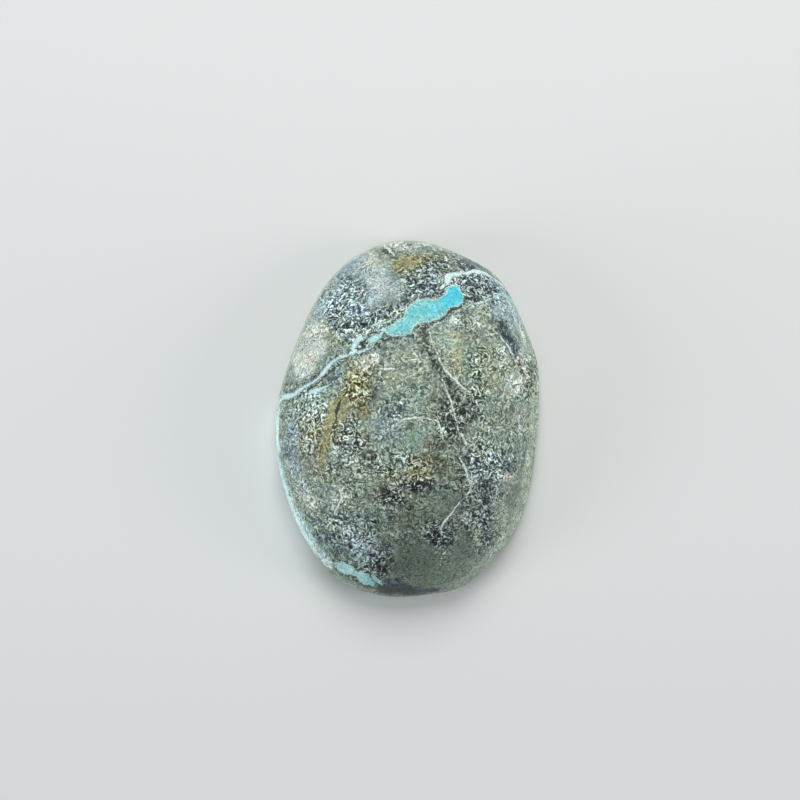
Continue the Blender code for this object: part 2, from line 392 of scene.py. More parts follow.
# Stains and zones as seen from the camera: x, y, half width, half length, strength, and the turn in
# degrees of those that have one
zones = {
    "olive": (
        (3.6, 6.3, 1.0, 1.4, 0.8), (3.8, 4.4, 0.7, 1.2, 0.8), (6.6, 5.6, 1.3, 1.5, 0.8),
        (7.2, 3.9, 1.2, 1.2, 0.9), (0.0, 5.1, 0.9, 0.6, 0.8), (-1.4, 5.1, 1.0, 0.6, 0.6),
        (-1.5, 3.4, 0.9, 0.9, 0.7), (0.4, 3.7, 0.8, 0.9, 0.6), (-3.6, -1.5, 0.8, 1.2, 0.8),
        (-5.2, -0.1, 0.8, 0.5, 0.6), (-7.8, -2.4, 0.5, 1.0, 0.5), (0.9, 13.3, 1.3, 0.5, 0.8, -5),
        (-2.0, -5.1, 0.9, 0.6, 0.7), (0.2, -8.6, 0.9, 0.6, 0.6), (4.3, 8.6, 0.5, 0.4, 0.6),
        (-6.3, 6.0, 0.6, 0.8, 0.4),
    ),
    "teal": (
        (0.8, 2.1, 0.7, 0.9, 0.8), (0.6, -1.6, 0.8, 1.1, 0.9), (0.9, 0.1, 0.9, 0.35, 0.7),
        (2.2, 7.0, 0.5, 1.1, 0.7, 20), (7.2, -1.2, 1.2, 0.8, 0.6), (6.4, 0.6, 0.9, 0.6, 0.5),
        (8.3, 2.8, 1.0, 1.4, 0.4), (5.4, -5.0, 0.5, 0.7, 0.7), (-3.7, -4.9, 1.0, 0.8, 0.4),
        (-1.9, -4.1, 0.8, 0.8, 0.4),
    ),
    "green": (
        (1.4, 12.7, 1.2, 0.6, 0.8), (8.8, -5.4, 0.9, 1.6, 0.4, -20), (-2.6, -6.9, 0.9, 0.6, 0.5),
        (3.5, -6.8, 1.9, 0.9, 0.9), (2.2, -8.2, 1.3, 0.8, 0.8), (5.2, -7.0, 0.7, 0.8, 0.9),
        (3.0, -5.7, 1.4, 0.35, 0.8), (4.6, -4.6, 0.5, 0.6, 0.8), (4.8, -9.6, 1.5, 1.2, 0.8),
        (1.0, -10.4, 1.6, 1.0, 0.7), (1.2, -12.4, 2.0, 1.2, 1.0), (4.2, -11.8, 2.0, 1.4, 0.9),
        (6.0, -10.7, 0.7, 0.6, 1.0), (-2.7, 5.8, 0.7, 0.4, 0.8), (0.0, 6.5, 0.8, 0.35, 0.9),
        (-3.1, -3.4, 0.5, 0.5, 0.9), (-1.0, -3.7, 0.5, 0.5, 0.9), (-3.8, -7.1, 0.6, 0.7, 0.7),
        (-1.6, -8.4, 1.3, 0.9, 0.7), (-1.2, 1.7, 0.5, 0.5, 0.9), (-0.2, 2.7, 0.4, 0.4, 0.6),
        (6.5, 2.2, 0.5, 0.4, 0.8), (5.4, 3.6, 0.5, 0.8, 0.6), (5.2, 1.5, 0.5, 0.5, 0.9),
        (5.2, 7.4, 0.3, 0.4, 0.7), (5.0, 6.2, 0.4, 0.6, 0.6), (-5.0, -1.2, 0.5, 0.6, 0.9),
        (-5.1, -2.9, 0.5, 0.4, 0.9), (9.2, -2.6, 0.5, 0.6, 0.5), (9.3, -5.4, 0.35, 0.6, 0.8, -30),
        (8.7, -6.3, 0.35, 0.5, 0.8),
    ),
    "cream": (
        (-8.3, 5.6, 1.3, 2.5, 0.9, -18), (-9.1, 3.5, 0.6, 1.0, 0.8), (-3.6, 11.9, 1.1, 1.2, 0.8),
        (-3.2, 10.5, 1.4, 0.9, 0.8, 10), (-4.4, 12.9, 1.3, 0.6, 0.6, 35), (-1.6, 14.1, 1.5, 0.45, 1.0, 3),
        (0.4, 14.4, 0.8, 0.3, 0.7), (-3.2, 4.5, 0.4, 0.9, 1.0), (-3.9, 4.3, 0.8, 0.7, 0.7),
        (3.2, 8.4, 0.7, 0.35, 0.7, 20), (5.0, 8.5, 0.3, 0.6, 0.6), (9.0, 5.4, 0.4, 1.6, 0.7, 8),
        (8.5, 3.2, 0.8, 1.3, 0.8), (7.7, 5.7, 0.6, 0.9, 0.6), (-8.7, -0.4, 0.5, 0.5, 0.6),
        (-7.2, -7.5, 1.0, 0.7, 0.7), (-5.3, -6.9, 0.6, 1.2, 0.6), (-8.4, -6.6, 0.6, 0.7, 0.6, 20),
        (0.2, 4.9, 0.4, 0.3, 0.6), (9.3, 0.4, 0.6, 1.4, 0.5), (8.4, -4.3, 0.8, 0.4, 0.6, 10),
        (8.6, -7.8, 0.8, 0.9, 0.4), (7.3, -1.3, 0.6, 0.4, 0.4), (-0.7, -9.3, 0.4, 0.4, 0.5),
        (9.0, 7.4, 0.3, 0.7, 0.6, 20),
    ),
    "blue": (
        (-7.6, 8.8, 0.7, 1.6, 0.8, -22), (-6.2, 11.2, 0.7, 0.7, 0.8), (-5.4, 12.5, 1.0, 0.5, 0.8, 40),
        (-5.0, 8.6, 0.8, 0.7, 0.6), (-6.6, 9.6, 0.5, 1.4, 0.7), (-5.6, 6.9, 0.5, 0.25, 1.1, -20),
        (-3.0, 7.5, 0.5, 0.4, 0.5), (1.0, 11.5, 1.0, 0.9, 0.5), (5.6, 11.4, 0.8, 0.5, 0.6),
        (6.8, 11.3, 0.9, 0.5, 0.7, -45), (7.1, 10.6, 0.4, 0.4, 0.8), (7.3, 9.2, 1.0, 1.5, 0.8, 30),
        (8.5, 8.3, 0.3, 0.9, 0.7, 25), (-8.0, 1.6, 0.8, 0.35, 0.8, 20), (-7.7, 0.6, 0.4, 0.4, 0.8),
        (-9.6, -2.2, 0.6, 1.8, 0.8), (-9.1, -4.6, 0.7, 0.9, 0.8), (-9.4, 0.2, 0.6, 0.6, 0.5),
        (-1.5, -0.9, 1.2, 1.7, 0.45), (-4.5, -2.5, 0.4, 0.6, 0.7, 20), (5.9, -3.3, 0.4, 0.4, 1.3),
        (7.1, -2.6, 0.4, 0.5, 0.7), (6.4, -4.7, 0.4, 0.5, 0.8), (-4.4, -9.5, 1.0, 0.8, 0.6),
        (-3.3, -10.6, 1.0, 0.7, 0.6), (-8.3, -6.5, 0.6, 0.8, 0.6, 20), (-2.2, -11.7, 0.7, 0.5, 0.6),
        (7.4, -10.8, 0.6, 0.7, 0.5, -35), (-1.7, -13.5, 0.6, 0.3, 0.6), (6.5, -4.2, 1.5, 3.0, 0.35),
        (-5.4, 10.2, 1.8, 2.6, 0.4), (5.4, 11.2, 2.4, 1.2, 0.35, -20), (7.9, 8.8, 0.9, 1.8, 0.4, 25),
        (-1.4, 0.2, 1.2, 1.8, 0.2), (0.0, 9.6, 7.0, 4.2, 0.2), (-2.6, -11.0, 2.0, 1.8, 0.5),
        (-3.2, 10.8, 1.8, 2.2, 0.35), (6.8, -6.8, 1.4, 2.6, 0.35), (-5.4, 6.6, 1.2, 0.6, 0.5, -10),
    ),
    "slateAndShade": (
        (-5.8, 8.6, 0.5, 0.9, 0.6), (-5.1, 10.6, 0.9, 0.6, 0.7, 20), (-6.5, 9.3, 0.35, 1.2, 0.6, -10),
        (-4.6, 7.5, 1.1, 0.4, 0.9), (-3.2, 8.1, 0.9, 0.4, 0.9, 20), (-2.0, 8.9, 0.8, 0.35, 1.1, 35),
        (-0.9, 9.8, 0.4, 0.7, 1.1, -20), (-0.4, 11.0, 0.6, 0.5, 0.7), (0.5, 11.0, 1.4, 0.8, 0.9),
        (1.8, 10.5, 0.5, 0.3, 1.1), (-6.4, 7.2, 0.9, 0.3, 0.9, -35), (-5.3, 6.2, 0.4, 0.4, 0.9),
        (4.4, 11.4, 0.6, 0.3, 1.0), (4.6, 10.2, 0.8, 0.3, 1.1, 5), (5.2, 11.2, 1.7, 0.7, 0.9, -12),
        (3.9, 12.9, 0.9, 0.5, 1.0, -15), (5.3, 12.9, 1.3, 0.5, 0.8, -32), (4.2, 13.4, 1.6, 0.7, 0.8, -28),
        (1.7, 12.6, 0.9, 0.6, 0.6), (7.2, 8.0, 0.5, 0.8, 0.9, 25), (7.8, 7.0, 0.5, 1.2, 1.1, 22),
        (8.4, 6.1, 0.25, 0.6, 0.9, 22), (-8.3, 2.6, 0.5, 0.25, 0.9, 35), (-6.4, 3.2, 0.8, 0.4, 0.7, 35),
        (-7.1, 2.5, 0.7, 0.3, 0.6, 35), (-1.0, 0.7, 0.6, 0.4, 1.0), (-1.9, 0.3, 0.4, 0.5, 0.7),
        (-8.3, -1.5, 0.4, 0.4, 0.8), (-9.6, -3.5, 0.4, 0.6, 0.6), (5.0, -2.6, 0.5, 0.4, 0.8),
        (7.6, -3.3, 0.7, 0.4, 1.1), (8.6, -3.5, 0.6, 0.4, 1.0), (8.1, -2.2, 0.6, 0.3, 0.7),
        (5.9, -3.9, 0.8, 0.9, 0.6), (6.8, -5.3, 0.7, 0.8, 1.1), (7.0, -6.9, 0.6, 1.0, 1.1),
        (7.0, -8.4, 0.5, 0.7, 1.0), (7.1, -9.5, 0.6, 0.5, 0.9), (3.1, -9.7, 0.9, 0.8, 1.2),
        (-7.0, -9.0, 0.7, 0.4, 0.7, -30), (-6.2, -10.2, 1.0, 0.8, 0.9, 40),
        (-5.0, -11.2, 0.9, 0.6, 0.8, 20), (-3.2, -8.4, 1.3, 0.7, 0.6), (-4.8, -8.4, 0.4, 0.4, 0.7),
        # the patches at y about -13.6 to -14.3 on this line and the next are painted shade along the foot
        # at the lower end, turned away from the lamps
        (-1.6, -12.4, 0.6, 0.7, 1.3), (-1.2, -10.9, 0.5, 0.5, 0.8), (-0.6, -13.6, 1.0, 0.5, 1.1),
        (-0.2, -14.2, 1.6, 0.5, 1.0), (2.2, -14.3, 1.8, 0.5, 1.0), (-4.0, -11.8, 0.6, 0.4, 0.7),
    ),
    "brown": (
        (3.6, 2.0, 0.9, 0.7, 0.9, 20), (3.1, 3.2, 0.4, 0.5, 0.7, 30), (2.9, 0.8, 0.5, 0.9, 0.7),
        (4.6, 0.9, 0.6, 0.7, 0.9), (3.1, -0.5, 0.5, 0.8, 0.9, 20), (4.7, -0.6, 0.5, 0.7, 1.0),
        (4.2, -1.5, 0.5, 0.5, 1.0, -30), (1.7, -2.0, 0.4, 0.5, 0.8, 20), (2.7, -2.2, 0.7, 0.7, 0.7),
        (2.9, -3.8, 0.6, 0.6, 0.6), (-3.1, 1.8, 0.5, 0.7, 1.2), (-3.9, 2.4, 0.8, 0.9, 0.5),
        (-4.1, 0.7, 0.6, 0.6, 0.7), (-7.0, -4.3, 0.5, 0.5, 0.7), (10.1, 4.6, 0.4, 2.2, 0.8, -8),
        (9.7, 7.2, 0.4, 0.8, 0.6, 20), (10.7, 1.7, 0.3, 0.8, 0.8), (1.0, 5.7, 0.4, 0.6, 0.9, 20),
        (0.4, -7.2, 0.9, 0.8, 0.8), (0.3, -8.5, 0.7, 0.6, 0.5), (1.5, -4.4, 0.8, 0.4, 0.8),
        (-1.5, 11.8, 0.6, 0.4, 0.6), (3.6, -0.3, 1.6, 1.6, 0.7), (1.5, -3.9, 1.4, 1.0, 0.7),
        (-0.9, -6.6, 0.9, 1.1, 0.8, 30),
    ),
    "umber": (
        (3.3, 0.7, 1.8, 2.4, 0.7), (1.9, -3.9, 1.8, 1.4, 0.8), (-4.6, 1.4, 2.4, 2.8, 0.5),
        (-5.2, -3.4, 2.2, 2.6, 0.5), (-1.4, -5.2, 1.8, 1.8, 0.5), (0.6, -5.4, 1.4, 1.2, 0.5),
        (-1.2, -7.0, 1.6, 1.4, 0.4), (-7.9, -3.0, 1.3, 2.6, 0.7), (-4.2, 4.2, 1.4, 1.0, 0.5),
    ),
    "ochre": (
        (-4.9, 3.2, 0.7, 0.9, 0.8, 10), (-4.2, 2.3, 1.2, 1.3, 0.9), (-5.0, 1.1, 0.9, 0.7, 1.0),
        (-5.9, 0.2, 0.8, 0.8, 1.3, -30), (-6.3, -0.9, 0.7, 1.0, 1.4, -15),
        (-6.7, -2.2, 0.7, 1.0, 1.4, -10), (-6.8, -3.4, 0.6, 0.6, 1.0), (-7.1, -4.3, 0.5, 0.6, 0.7),
        (-6.5, -5.5, 0.4, 0.5, 0.6), (-3.8, 0.2, 0.6, 0.7, 0.8), (-4.0, 1.2, 0.6, 0.5, 0.9),
        (-1.2, 12.8, 1.1, 0.6, 0.9), (-1.5, 12.2, 0.8, 0.5, 0.8), (-0.1, 12.9, 0.6, 0.5, 0.6),
        (0.8, 13.3, 1.0, 0.4, 0.4), (1.5, -3.8, 1.4, 1.2, 0.65), (1.2, -4.9, 1.2, 0.8, 0.4),
        (-7.9, -1.6, 0.5, 1.0, 0.5),
    ),
    "dark": (
        (1.2, -5.5, 1.4, 0.5, 1.0), (-0.9, -6.7, 0.7, 1.0, 1.0, 30), (-1.6, -5.9, 0.4, 0.35, 0.7),
        (-3.0, 1.6, 0.3, 0.4, 0.5), (2.2, 4.2, 0.4, 0.9, 0.6, 32), (3.0, 3.1, 0.4, 0.4, 0.6),
        (1.6, 5.2, 0.25, 0.6, 0.6, 25), (3.2, -9.8, 1.0, 0.8, 0.6), (-1.6, -12.6, 0.8, 0.7, 0.6),
        # these three, along the foot at the lower end, are painted shade on the side turned away from the
        # lamps
        (-0.9, -14.3, 1.0, 0.5, 1.1), (1.2, -14.6, 1.3, 0.45, 1.2), (3.0, -14.3, 1.0, 0.45, 1.1),
        (6.8, -5.6, 0.5, 0.6, 0.4), (1.7, 10.4, 0.4, 0.25, 0.4), (4.6, 10.15, 0.7, 0.2, 0.4),
        (-1.0, 9.7, 0.3, 0.5, 0.4, -20),
    ),
    # broad areas that are darker, or lighter where negative: mostly the rock's own tone, but the broad
    # patches over the lower end of the stone (y below -10) are painted shade, on the side turned away from
    # the lamps
    "dimAndShade": (
        (0.6, -10.2, 2.4, 2.8, 0.9), (2.2, -8.2, 1.6, 1.2, 0.4), (2.0, 1.4, 1.2, 1.8, 0.5),
        (2.4, -4.0, 1.4, 1.2, 0.65), (5.4, -5.0, 2.2, 2.6, 0.6), (0.9, 12.3, 1.8, 0.9, 0.5),
        (-2.2, 7.3, 2.0, 0.9, 0.6, 20), (-2.4, 5.9, 1.4, 0.7, 0.5, 10), (0.0, 14.3, 2.6, 0.7, 0.5),
        (5.0, 12.9, 2.4, 1.0, 0.8, -28), (0.4, 11.9, 3.0, 1.0, 0.3), (-0.9, 6.4, 2.6, 1.0, 0.35, 20),
        (-6.6, 12.0, 1.2, 1.0, 0.7, 40), (-4.0, -0.2, 1.8, 3.0, 0.35), (4.6, 1.6, 2.2, 1.6, 0.35),
        (1.2, -14.3, 4.0, 0.8, 1.0), (-1.0, -12.4, 0.9, 1.0, 0.6), (5.2, -7.2, 2.4, 3.6, 0.3),
        (3.6, 5.2, 1.4, 1.8, -0.3), (0.6, -12.8, 7.5, 4.4, 0.42), (-4.3, 9.9, 1.4, 1.2, -0.4),
        (-2.0, 9.4, 0.9, 1.2, 0.3), (6.2, 10.4, 0.9, 0.8, 0.3), (4.4, -9.4, 1.4, 1.6, 0.25),
        (2.6, 7.2, 1.0, 1.4, -0.5), (-6.4, 0.2, 1.2, 1.2, -1.1), (-4.0, 4.3, 1.2, 0.9, -0.9),
        (-8.0, 1.7, 1.1, 1.0, -0.7), (-8.2, -1.9, 0.9, 1.2, -0.6), (2.4, 8.6, 1.0, 0.7, -0.3),
        (4.4, 10.0, 0.9, 0.6, -0.4), (-0.6, 10.3, 1.0, 0.8, -0.5), (-8.0, 7.8, 1.0, 1.6, -0.35, -20),
        (-5.9, 8.4, 1.2, 1.2, -0.3), (0.0, -4.0, 1.0, 1.0, -0.4), (-8.4, -6.8, 0.9, 2.0, -0.4, 15),
        (4.2, -12.2, 1.4, 1.0, -0.4), (-4.2, -12.0, 1.2, 0.8, -0.4),
    ),
    # where the turquoise is purest
    "rich": (
        (3.0, 10.4, 1.0, 1.0, 1.0), (1.4, 9.1, 1.4, 0.7, 0.3, 20), (-3.9, -13.0, 1.6, 1.0, -0.6, -30),
        (-3.2, 6.5, 0.8, 0.5, -0.4, 20),
    ),
    # how much stronger or weaker than usual the rock is speckled
    "speckle": (
        (-6.0, 7.9, 1.7, 1.7, 0.5), (-5.3, 10.4, 1.1, 0.9, 0.5), (-6.5, 9.5, 0.6, 1.6, 0.5, -10),
        (-2.4, 8.2, 2.2, 1.0, 0.55, 24), (0.6, 11.2, 2.0, 1.2, 0.55), (5.0, 11.2, 2.2, 1.2, 0.6),
        (1.4, 12.8, 1.6, 0.8, 0.4), (4.3, 13.2, 1.8, 0.7, 0.7, -28), (-8.2, 0.4, 1.6, 1.4, 0.4),
        (-5.0, -1.9, 1.3, 1.6, 0.7), (-7.6, -2.0, 1.2, 2.0, 0.4), (-1.4, 0.9, 1.2, 0.9, 0.3),
        (6.8, -3.3, 2.4, 1.4, 0.5), (6.3, -6.0, 1.6, 4.6, 0.45), (9.0, -5.6, 0.9, 2.6, -0.3, -10),
        (-0.2, -4.0, 2.8, 1.4, 0.35), (-4.4, -9.4, 2.6, 1.6, 0.4), (-4.6, -4.8, 1.4, 1.2, 0.35),
        (5.4, 3.2, 0.8, 2.6, 0.5), (3.6, 0.2, 1.4, 1.6, 0.35), (10.0, 4.4, 0.8, 2.4, 0.4),
        (-4.4, 2.2, 1.3, 1.5, 0.5), (-4.2, 6.2, 1.2, 0.8, 0.5), (7.4, 6.0, 0.9, 1.4, 0.2),
        (3.2, -12.0, 3.8, 2.0, -0.55), (3.1, -9.7, 1.4, 1.2, 0.8), (-1.8, -12.0, 1.3, 1.3, 0.6),
        (-0.9, -6.7, 1.2, 1.2, 0.4), (1.3, -5.3, 1.4, 0.7, 0.4), (3.4, 0.6, 1.6, 2.0, 0.3),
        (3.8, -7.0, 1.8, 0.9, -0.4), (-8.4, 5.6, 1.5, 2.6, -0.4, -18), (-6.3, -1.2, 0.8, 2.4, -0.45, -15),
        (-3.0, 11.0, 1.6, 1.9, -0.45), (3.0, 6.6, 1.4, 1.4, -0.3), (-5.0, 12.6, 2.4, 0.8, -0.4, 40),
        (7.6, -0.2, 1.6, 1.6, 0.12), (0.4, 1.4, 0.9, 1.0, -0.2), (0.5, -1.7, 0.9, 1.0, -0.3),
        (-3.7, -1.5, 0.7, 0.8, -0.3), (0.0, -14.3, 5.0, 0.6, -0.2), (4.8, -10.0, 1.2, 1.0, -0.3),
    ),
    # skin that the wheel didn't reach
    "rough": ((10.3, 4.4, 0.7, 2.9, 1.0, -8), (9.7, 7.4, 0.6, 1.0, 0.8, 20), (10.7, 1.5, 0.4, 1.0, 0.8)),
}

# How the marks lie in the stone: sizes and distances in millimetres
markLay = {
    "wanderSize": 1.6,             # the edges of the marks wander, and those of lines shiver too
    "zoneWander": 0.35,
    "lineWander": 0.12,
    "shiverSize": 0.45,
    "lineShiver": 0.07,
    "wanderSeeds": ((3, 1, 4), (9, 2, 6)),
    "shiverSeeds": ((2, 7, 1), (8, 2, 8)),
    "domeEase": 1.08,              # depth counts from a dome that falls away this much sooner
    "zoneDepth": 1.2,              # how deep a zone goes, besides its own width
    "zoneCore": 0.4,               # a zone fades from this share of its half width
    "zoneEnd": 1.5,                # to this one
    "farGap": 9.0,                 # stands for the gap where no line is near
    "seamPoint": (-10.6, -2.4),    # the weathered seam across the back, and its slope
    "seamSlope": 0.48,
    "wallOnDome": -0.4,            # the wall's look, paler partly of itself and partly as a painted highlight: how far the dome is from it,
    "wallAtGirdle": 0.6,           # where it stands at the girdle,
    "wallPerRow": 0.1,             # and how it grows down the wall
}


def gapToLine(places, line):
    # Distance to the edge of a line that has a width at each of its points, negative inside
    gap = np.full(len(places), markLay["farGap"])
    for (x, y, width), (nextX, nextY, nextWidth) in zip(line, line[1:]):
        start = np.array((x, y))
        run = np.array((nextX - x, nextY - y))
        share = np.clip((places - start) @ run / (run @ run), 0, 1)
        away = np.linalg.norm(places - start - share[:, None] * run, axis=1)
        gap = np.minimum(gap, away - width - (nextWidth - width) * share)
    return gap


def gapToPatch(places, corners):
    # Distance to the edge of a patch, negative inside
    gap = gapToLine(places, [(*corner, 0) for corner in (*corners, corners[0])])
    inside = np.zeros(len(places), bool)
    for (x, y), (nextX, nextY) in zip(corners, (*corners[1:], corners[0])):
        spans = (y > places[:, 1]) != (nextY > places[:, 1])
        crossing = x + (places[:, 1] - y) * (nextX - x) / (nextY - y or 1)
        inside ^= spans & (places[:, 0] < crossing)
    return np.where(inside, -gap, gap)


def zoneValue(places, depth, patches):
    # Sum of soft oval patches; each goes into the stone about as deep as it is wide
    value = np.zeros(len(places))
    for x, y, halfWidth, halfLength, strength, *turn in patches:
        angle = radians(turn[0] if turn else 0)
        c, s = cos(angle), sin(angle)
        dx, dy = places[:, 0] - x, places[:, 1] - y
        across = (dx * c + dy * s) / halfWidth
        along = (-dx * s + dy * c) / halfLength
        deep = depth / (markLay["zoneDepth"] + (halfWidth * halfLength) ** 0.5)
        reach = np.sqrt(across ** 2 + along ** 2 + deep ** 2)
        core, end = markLay["zoneCore"], markLay["zoneEnd"]
        fade = np.clip((end - reach) / (end - core), 0, 1)
        value += strength * fade ** 2 * (3 - 2 * fade)
    return value


def layMarks(places, smooth, rows):
    # A value at each point for every zone, and its distance to every kind of line
    seen = asSeen(places)
    reach = np.hypot(places[:, 0] / stoneShape["halfWidth"], places[:, 1] / stoneShape["halfLength"])
    dome = domeHeight(np.clip(reach * markLay["domeEase"], 0, 1))
    depth = np.clip(dome - smooth[:, 2], 0, None)
    wander = noisePair(places, markLay["wanderSize"], markLay["wanderSeeds"])
    shiver = noisePair(places, markLay["shiverSize"], markLay["shiverSeeds"])
    loose = seen + markLay["zoneWander"] * wander
    tight = seen + markLay["lineWander"] * wander + markLay["lineShiver"] * shiver

    fields = {name: zoneValue(loose, depth, patches) for name, patches in zones.items()}
    for name, (lines, dip) in veins.items():
        sheet = tight - depth[:, None] * np.array(dip)
        fields[name] = np.minimum.reduce([gapToLine(sheet, line) for line in lines])
        if name == "turquoiseBody":
            fields[name] = np.minimum(fields[name], gapToPatch(sheet, turquoisePatch))

    wall = np.clip(markLay["wallAtGirdle"] + markLay["wallPerRow"] * rows, 0, 1)
    fields["wall"] = np.where(rows == 0, markLay["wallOnDome"], wall)
    # The back is one face: it has only a straight seam, where the vein comes out
    backRow = stoneShape["wallRows"] + stoneShape["footRows"]
    for name in fields:
        fields[name][rows > backRow] = markLay["farGap"] if name in veins else 0
    fields["onBack"] = (rows >= backRow).astype(float)
    seamX, seamY = markLay["seamPoint"]
    fields["seam"] = places[:, 1] - seamY - markLay["seamSlope"] * (places[:, 0] - seamX)
    return fields


# What stands off the smooth stone: heights in millimetres
relief = {
    "crackDepth": 0.03,
    "veinHeight": 0.012,
    "edgeWidth": 0.1,
    "roughHeight": 0.1,
    "roughSize": 0.55,
    "roughSeed": (5, 5, 1),
}


def fineRelief(places, fields):
    def beside(name):
        return np.clip(1 - fields[name] / relief["edgeWidth"], 0, 1)

    rough = fields["rough"].clip(0, 1) * noiseAt(places, relief["roughSize"], relief["roughSeed"])
    lines = relief["veinHeight"] * beside("paleVein") - relief["crackDepth"] * beside("darkCrack")
    return (lines + relief["roughHeight"] * rough) * (places[:, 2] > 0)


def soften(bm, band, passes):
    low, high = band
    verts = [vert for vert in bm.verts if low < vert.co.z < high]
    for _ in range(passes):
        bmesh.ops.smooth_vert(bm, verts=verts, factor=stoneShape["softening"],
                              use_axis_x=True, use_axis_y=True, use_axis_z=True)


def makeStone():
    bm, rows = block()
    flat = np.array([vert.co for vert in bm.verts])
    for vert, place in zip(bm.verts, ground(flat[:, 0], flat[:, 1], rows)):
        vert.co = place
    bmesh.ops.recalc_face_normals(bm, faces=bm.faces)
    soften(bm, stoneShape["girdleBand"], stoneShape["girdlePasses"])
    soften(bm, stoneShape["footBand"], stoneShape["footPasses"])
    bm.normal_update()
    smooth = np.array([vert.co for vert in bm.verts])
    normals = np.array([vert.normal for vert in bm.verts])
    places = smooth + normals * unevenness(smooth)[:, None]
    print("stone ground:", len(places), "points")

    fields = layMarks(places, smooth, rows)
    print("marks laid")

    # Set where the solid stands and no higher, with its back flat on the ground
    places = places + normals * fineRelief(places, fields)[:, None]
    low, high = (np.array(corner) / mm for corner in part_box("turquoise_stone"))
    places[:, 2] = places[:, 2].clip(0) * min(1, high[2] / places[:, 2].max())
    shift = Vector((low + high - places.min(0) - places.max(0)) / 2)
    shift.z = 0
    for vert, place in zip(bm.verts, places):
        vert.co = (Vector(place) + shift) * mm

    mesh = bpy.data.meshes.new("turquoiseStone")
    bm.to_mesh(mesh)
    bm.free()
    mesh.shade_smooth()
    for name, values in fields.items():
        mesh.attributes.new(name, "FLOAT", "POINT").data.foreach_set("value", values.astype(np.float32))
    return inScene("turquoiseStone", mesh), shift


class Flow:
    # A number, colour or vector that runs from one node's socket to the next
    def __init__(self, paint, socket):
        self.paint = paint
        self.socket = socket

    def combine(self, other, operation, swapped=False):
        pair = (other, self) if swapped else (self, other)
        return self.paint.node("ShaderNodeMath", {"operation": operation}, {0: pair[0], 1: pair[1]})

    def __add__(self, other):
        return self.combine(other, "ADD")

    def __sub__(self, other):
        return self.combine(other, "SUBTRACT")

    def __rsub__(self, other):
        return self.combine(other, "SUBTRACT", True)

    def __mul__(self, other):
        return self.combine(other, "MULTIPLY")

    __radd__, __rmul__ = __add__, __mul__

    def __abs__(self):
        return self.paint.node("ShaderNodeMath", {"operation": "ABSOLUTE"}, {0: self})


class Paint:
    # Builds one material's nodes
    def __init__(self, name):
        self.material = bpy.data.materials.new(name)
        self.material.use_nodes = True
        self.tree = self.material.node_tree
        self.shader = self.tree.nodes["Principled BSDF"]

    def put(self, socket, value):
        if isinstance(value, Flow):
            self.tree.links.new(value.socket, socket)
        else:
            socket.default_value = value

    def node(self, kind, settings, sockets, output=0):
        made = self.tree.nodes.new(kind)
        for name, value in settings.items():
            setattr(made, name, value)
        for name, value in sockets.items():
            self.put(made.inputs[name], value)
        return Flow(self, made.outputs[output])

    def vector(self, operation, first, second):
        second = {"Scale": second} if operation == "SCALE" else {1: second}
        return self.node("ShaderNodeVectorMath", {"operation": operation}, {0: first, **second})

    def field(self, name):
        return self.node("ShaderNodeAttribute", {"attribute_name": name}, {}, "Fac")

    def noise(self, where, size, detail, roughness=0.5, output="Fac"):
        # Noise from 0 to 1 that turns over about every size millimetres
        sockets = {"Vector": where, "Scale": 1 / (size * mm), "Detail": detail, "Roughness": roughness}
        return self.node("ShaderNodeTexNoise", {"normalize": True}, sockets, output)

    def swing(self, where, size, detail, roughness):
        # The same noise, from -0.5 to 0.5
        return self.noise(where, size, detail, roughness) - 0.5

    def stirred(self, where, size, amount):
        # The same place moved about by noise, both in millimetres
        push = self.vector("SUBTRACT", self.noise(where, size, 1, output="Color"), (0.5, 0.5, 0.5))
        return self.vector("ADD", where, self.vector("SCALE", push, amount * mm))

    def ramp(self, value, edge):
        # 0 before the edge's first number, 1 past its second, smooth between; the first may be larger
        sockets = {"Value": value, "From Min": edge[0], "From Max": edge[1]}
        return self.node("ShaderNodeMapRange", {"interpolation_type": "SMOOTHSTEP"}, sockets, "Result")

    def mix(self, share, first, second, kind="MIX"):
        # Colours are given as three numbers or as a Flow
        first, second = ((*c, 1) if isinstance(c, tuple) else c for c in (first, second))
        settings = {"data_type": "RGBA", "blend_type": kind, "clamp_factor": True}
        return self.node("ShaderNodeMix", settings, {0: share, 6: first, 7: second}, 2)


stoneFinish = {
    # colours are linear
    "host": (0.185, 0.24, 0.195),
    "hostLight": (0.30, 0.36, 0.295),
    "warm": (1.05, 1.0, 0.90),
    "cool": (0.94, 1.0, 1.03),
    "olive": (0.30, 0.335, 0.235),
    "teal": (0.225, 0.325, 0.275),
    "green": (0.15, 0.205, 0.165),
    "cream": (0.55, 0.59, 0.54),
    "blue": (0.305, 0.395, 0.435),
    # slate-blue rock; also laid along the foot at the lower end as painted shade
    "slateAndShade": (0.085, 0.130, 0.145),
    "brown": (0.094, 0.112, 0.086),
    "umber": (0.225, 0.228, 0.172),
    "ochre": (0.272, 0.262, 0.13),
    # dark rock; also laid along the foot at the lower end as painted shade
    "dark": (0.028, 0.037, 0.029),
    "paleGrain": (0.70, 0.82, 0.76),
    "turquoiseRim": (0.52, 0.84, 0.81),
    "turquoisePale": (0.28, 0.58, 0.57),
    "turquoise": (0.14, 0.585, 0.61),
    "turquoiseRich": (0.09, 0.64, 0.79),
    "veinPale": (0.66, 0.90, 0.91),
    "veinWhite": (0.76, 0.95, 0.94),
    # pale skin on the left wall, partly a painted highlight
    "skinAndHighlight": (0.64, 0.84, 0.86),
    "crackPale": (0.82, 0.90, 0.82),
    "crackDark": (0.025, 0.035, 0.030),
    "usualSpeckle": 0.47,
    "roughness": 0.42,
    "backRoughness": 0.7,
    "roughSkin": 0.85,
    "specular": 0.42,
}

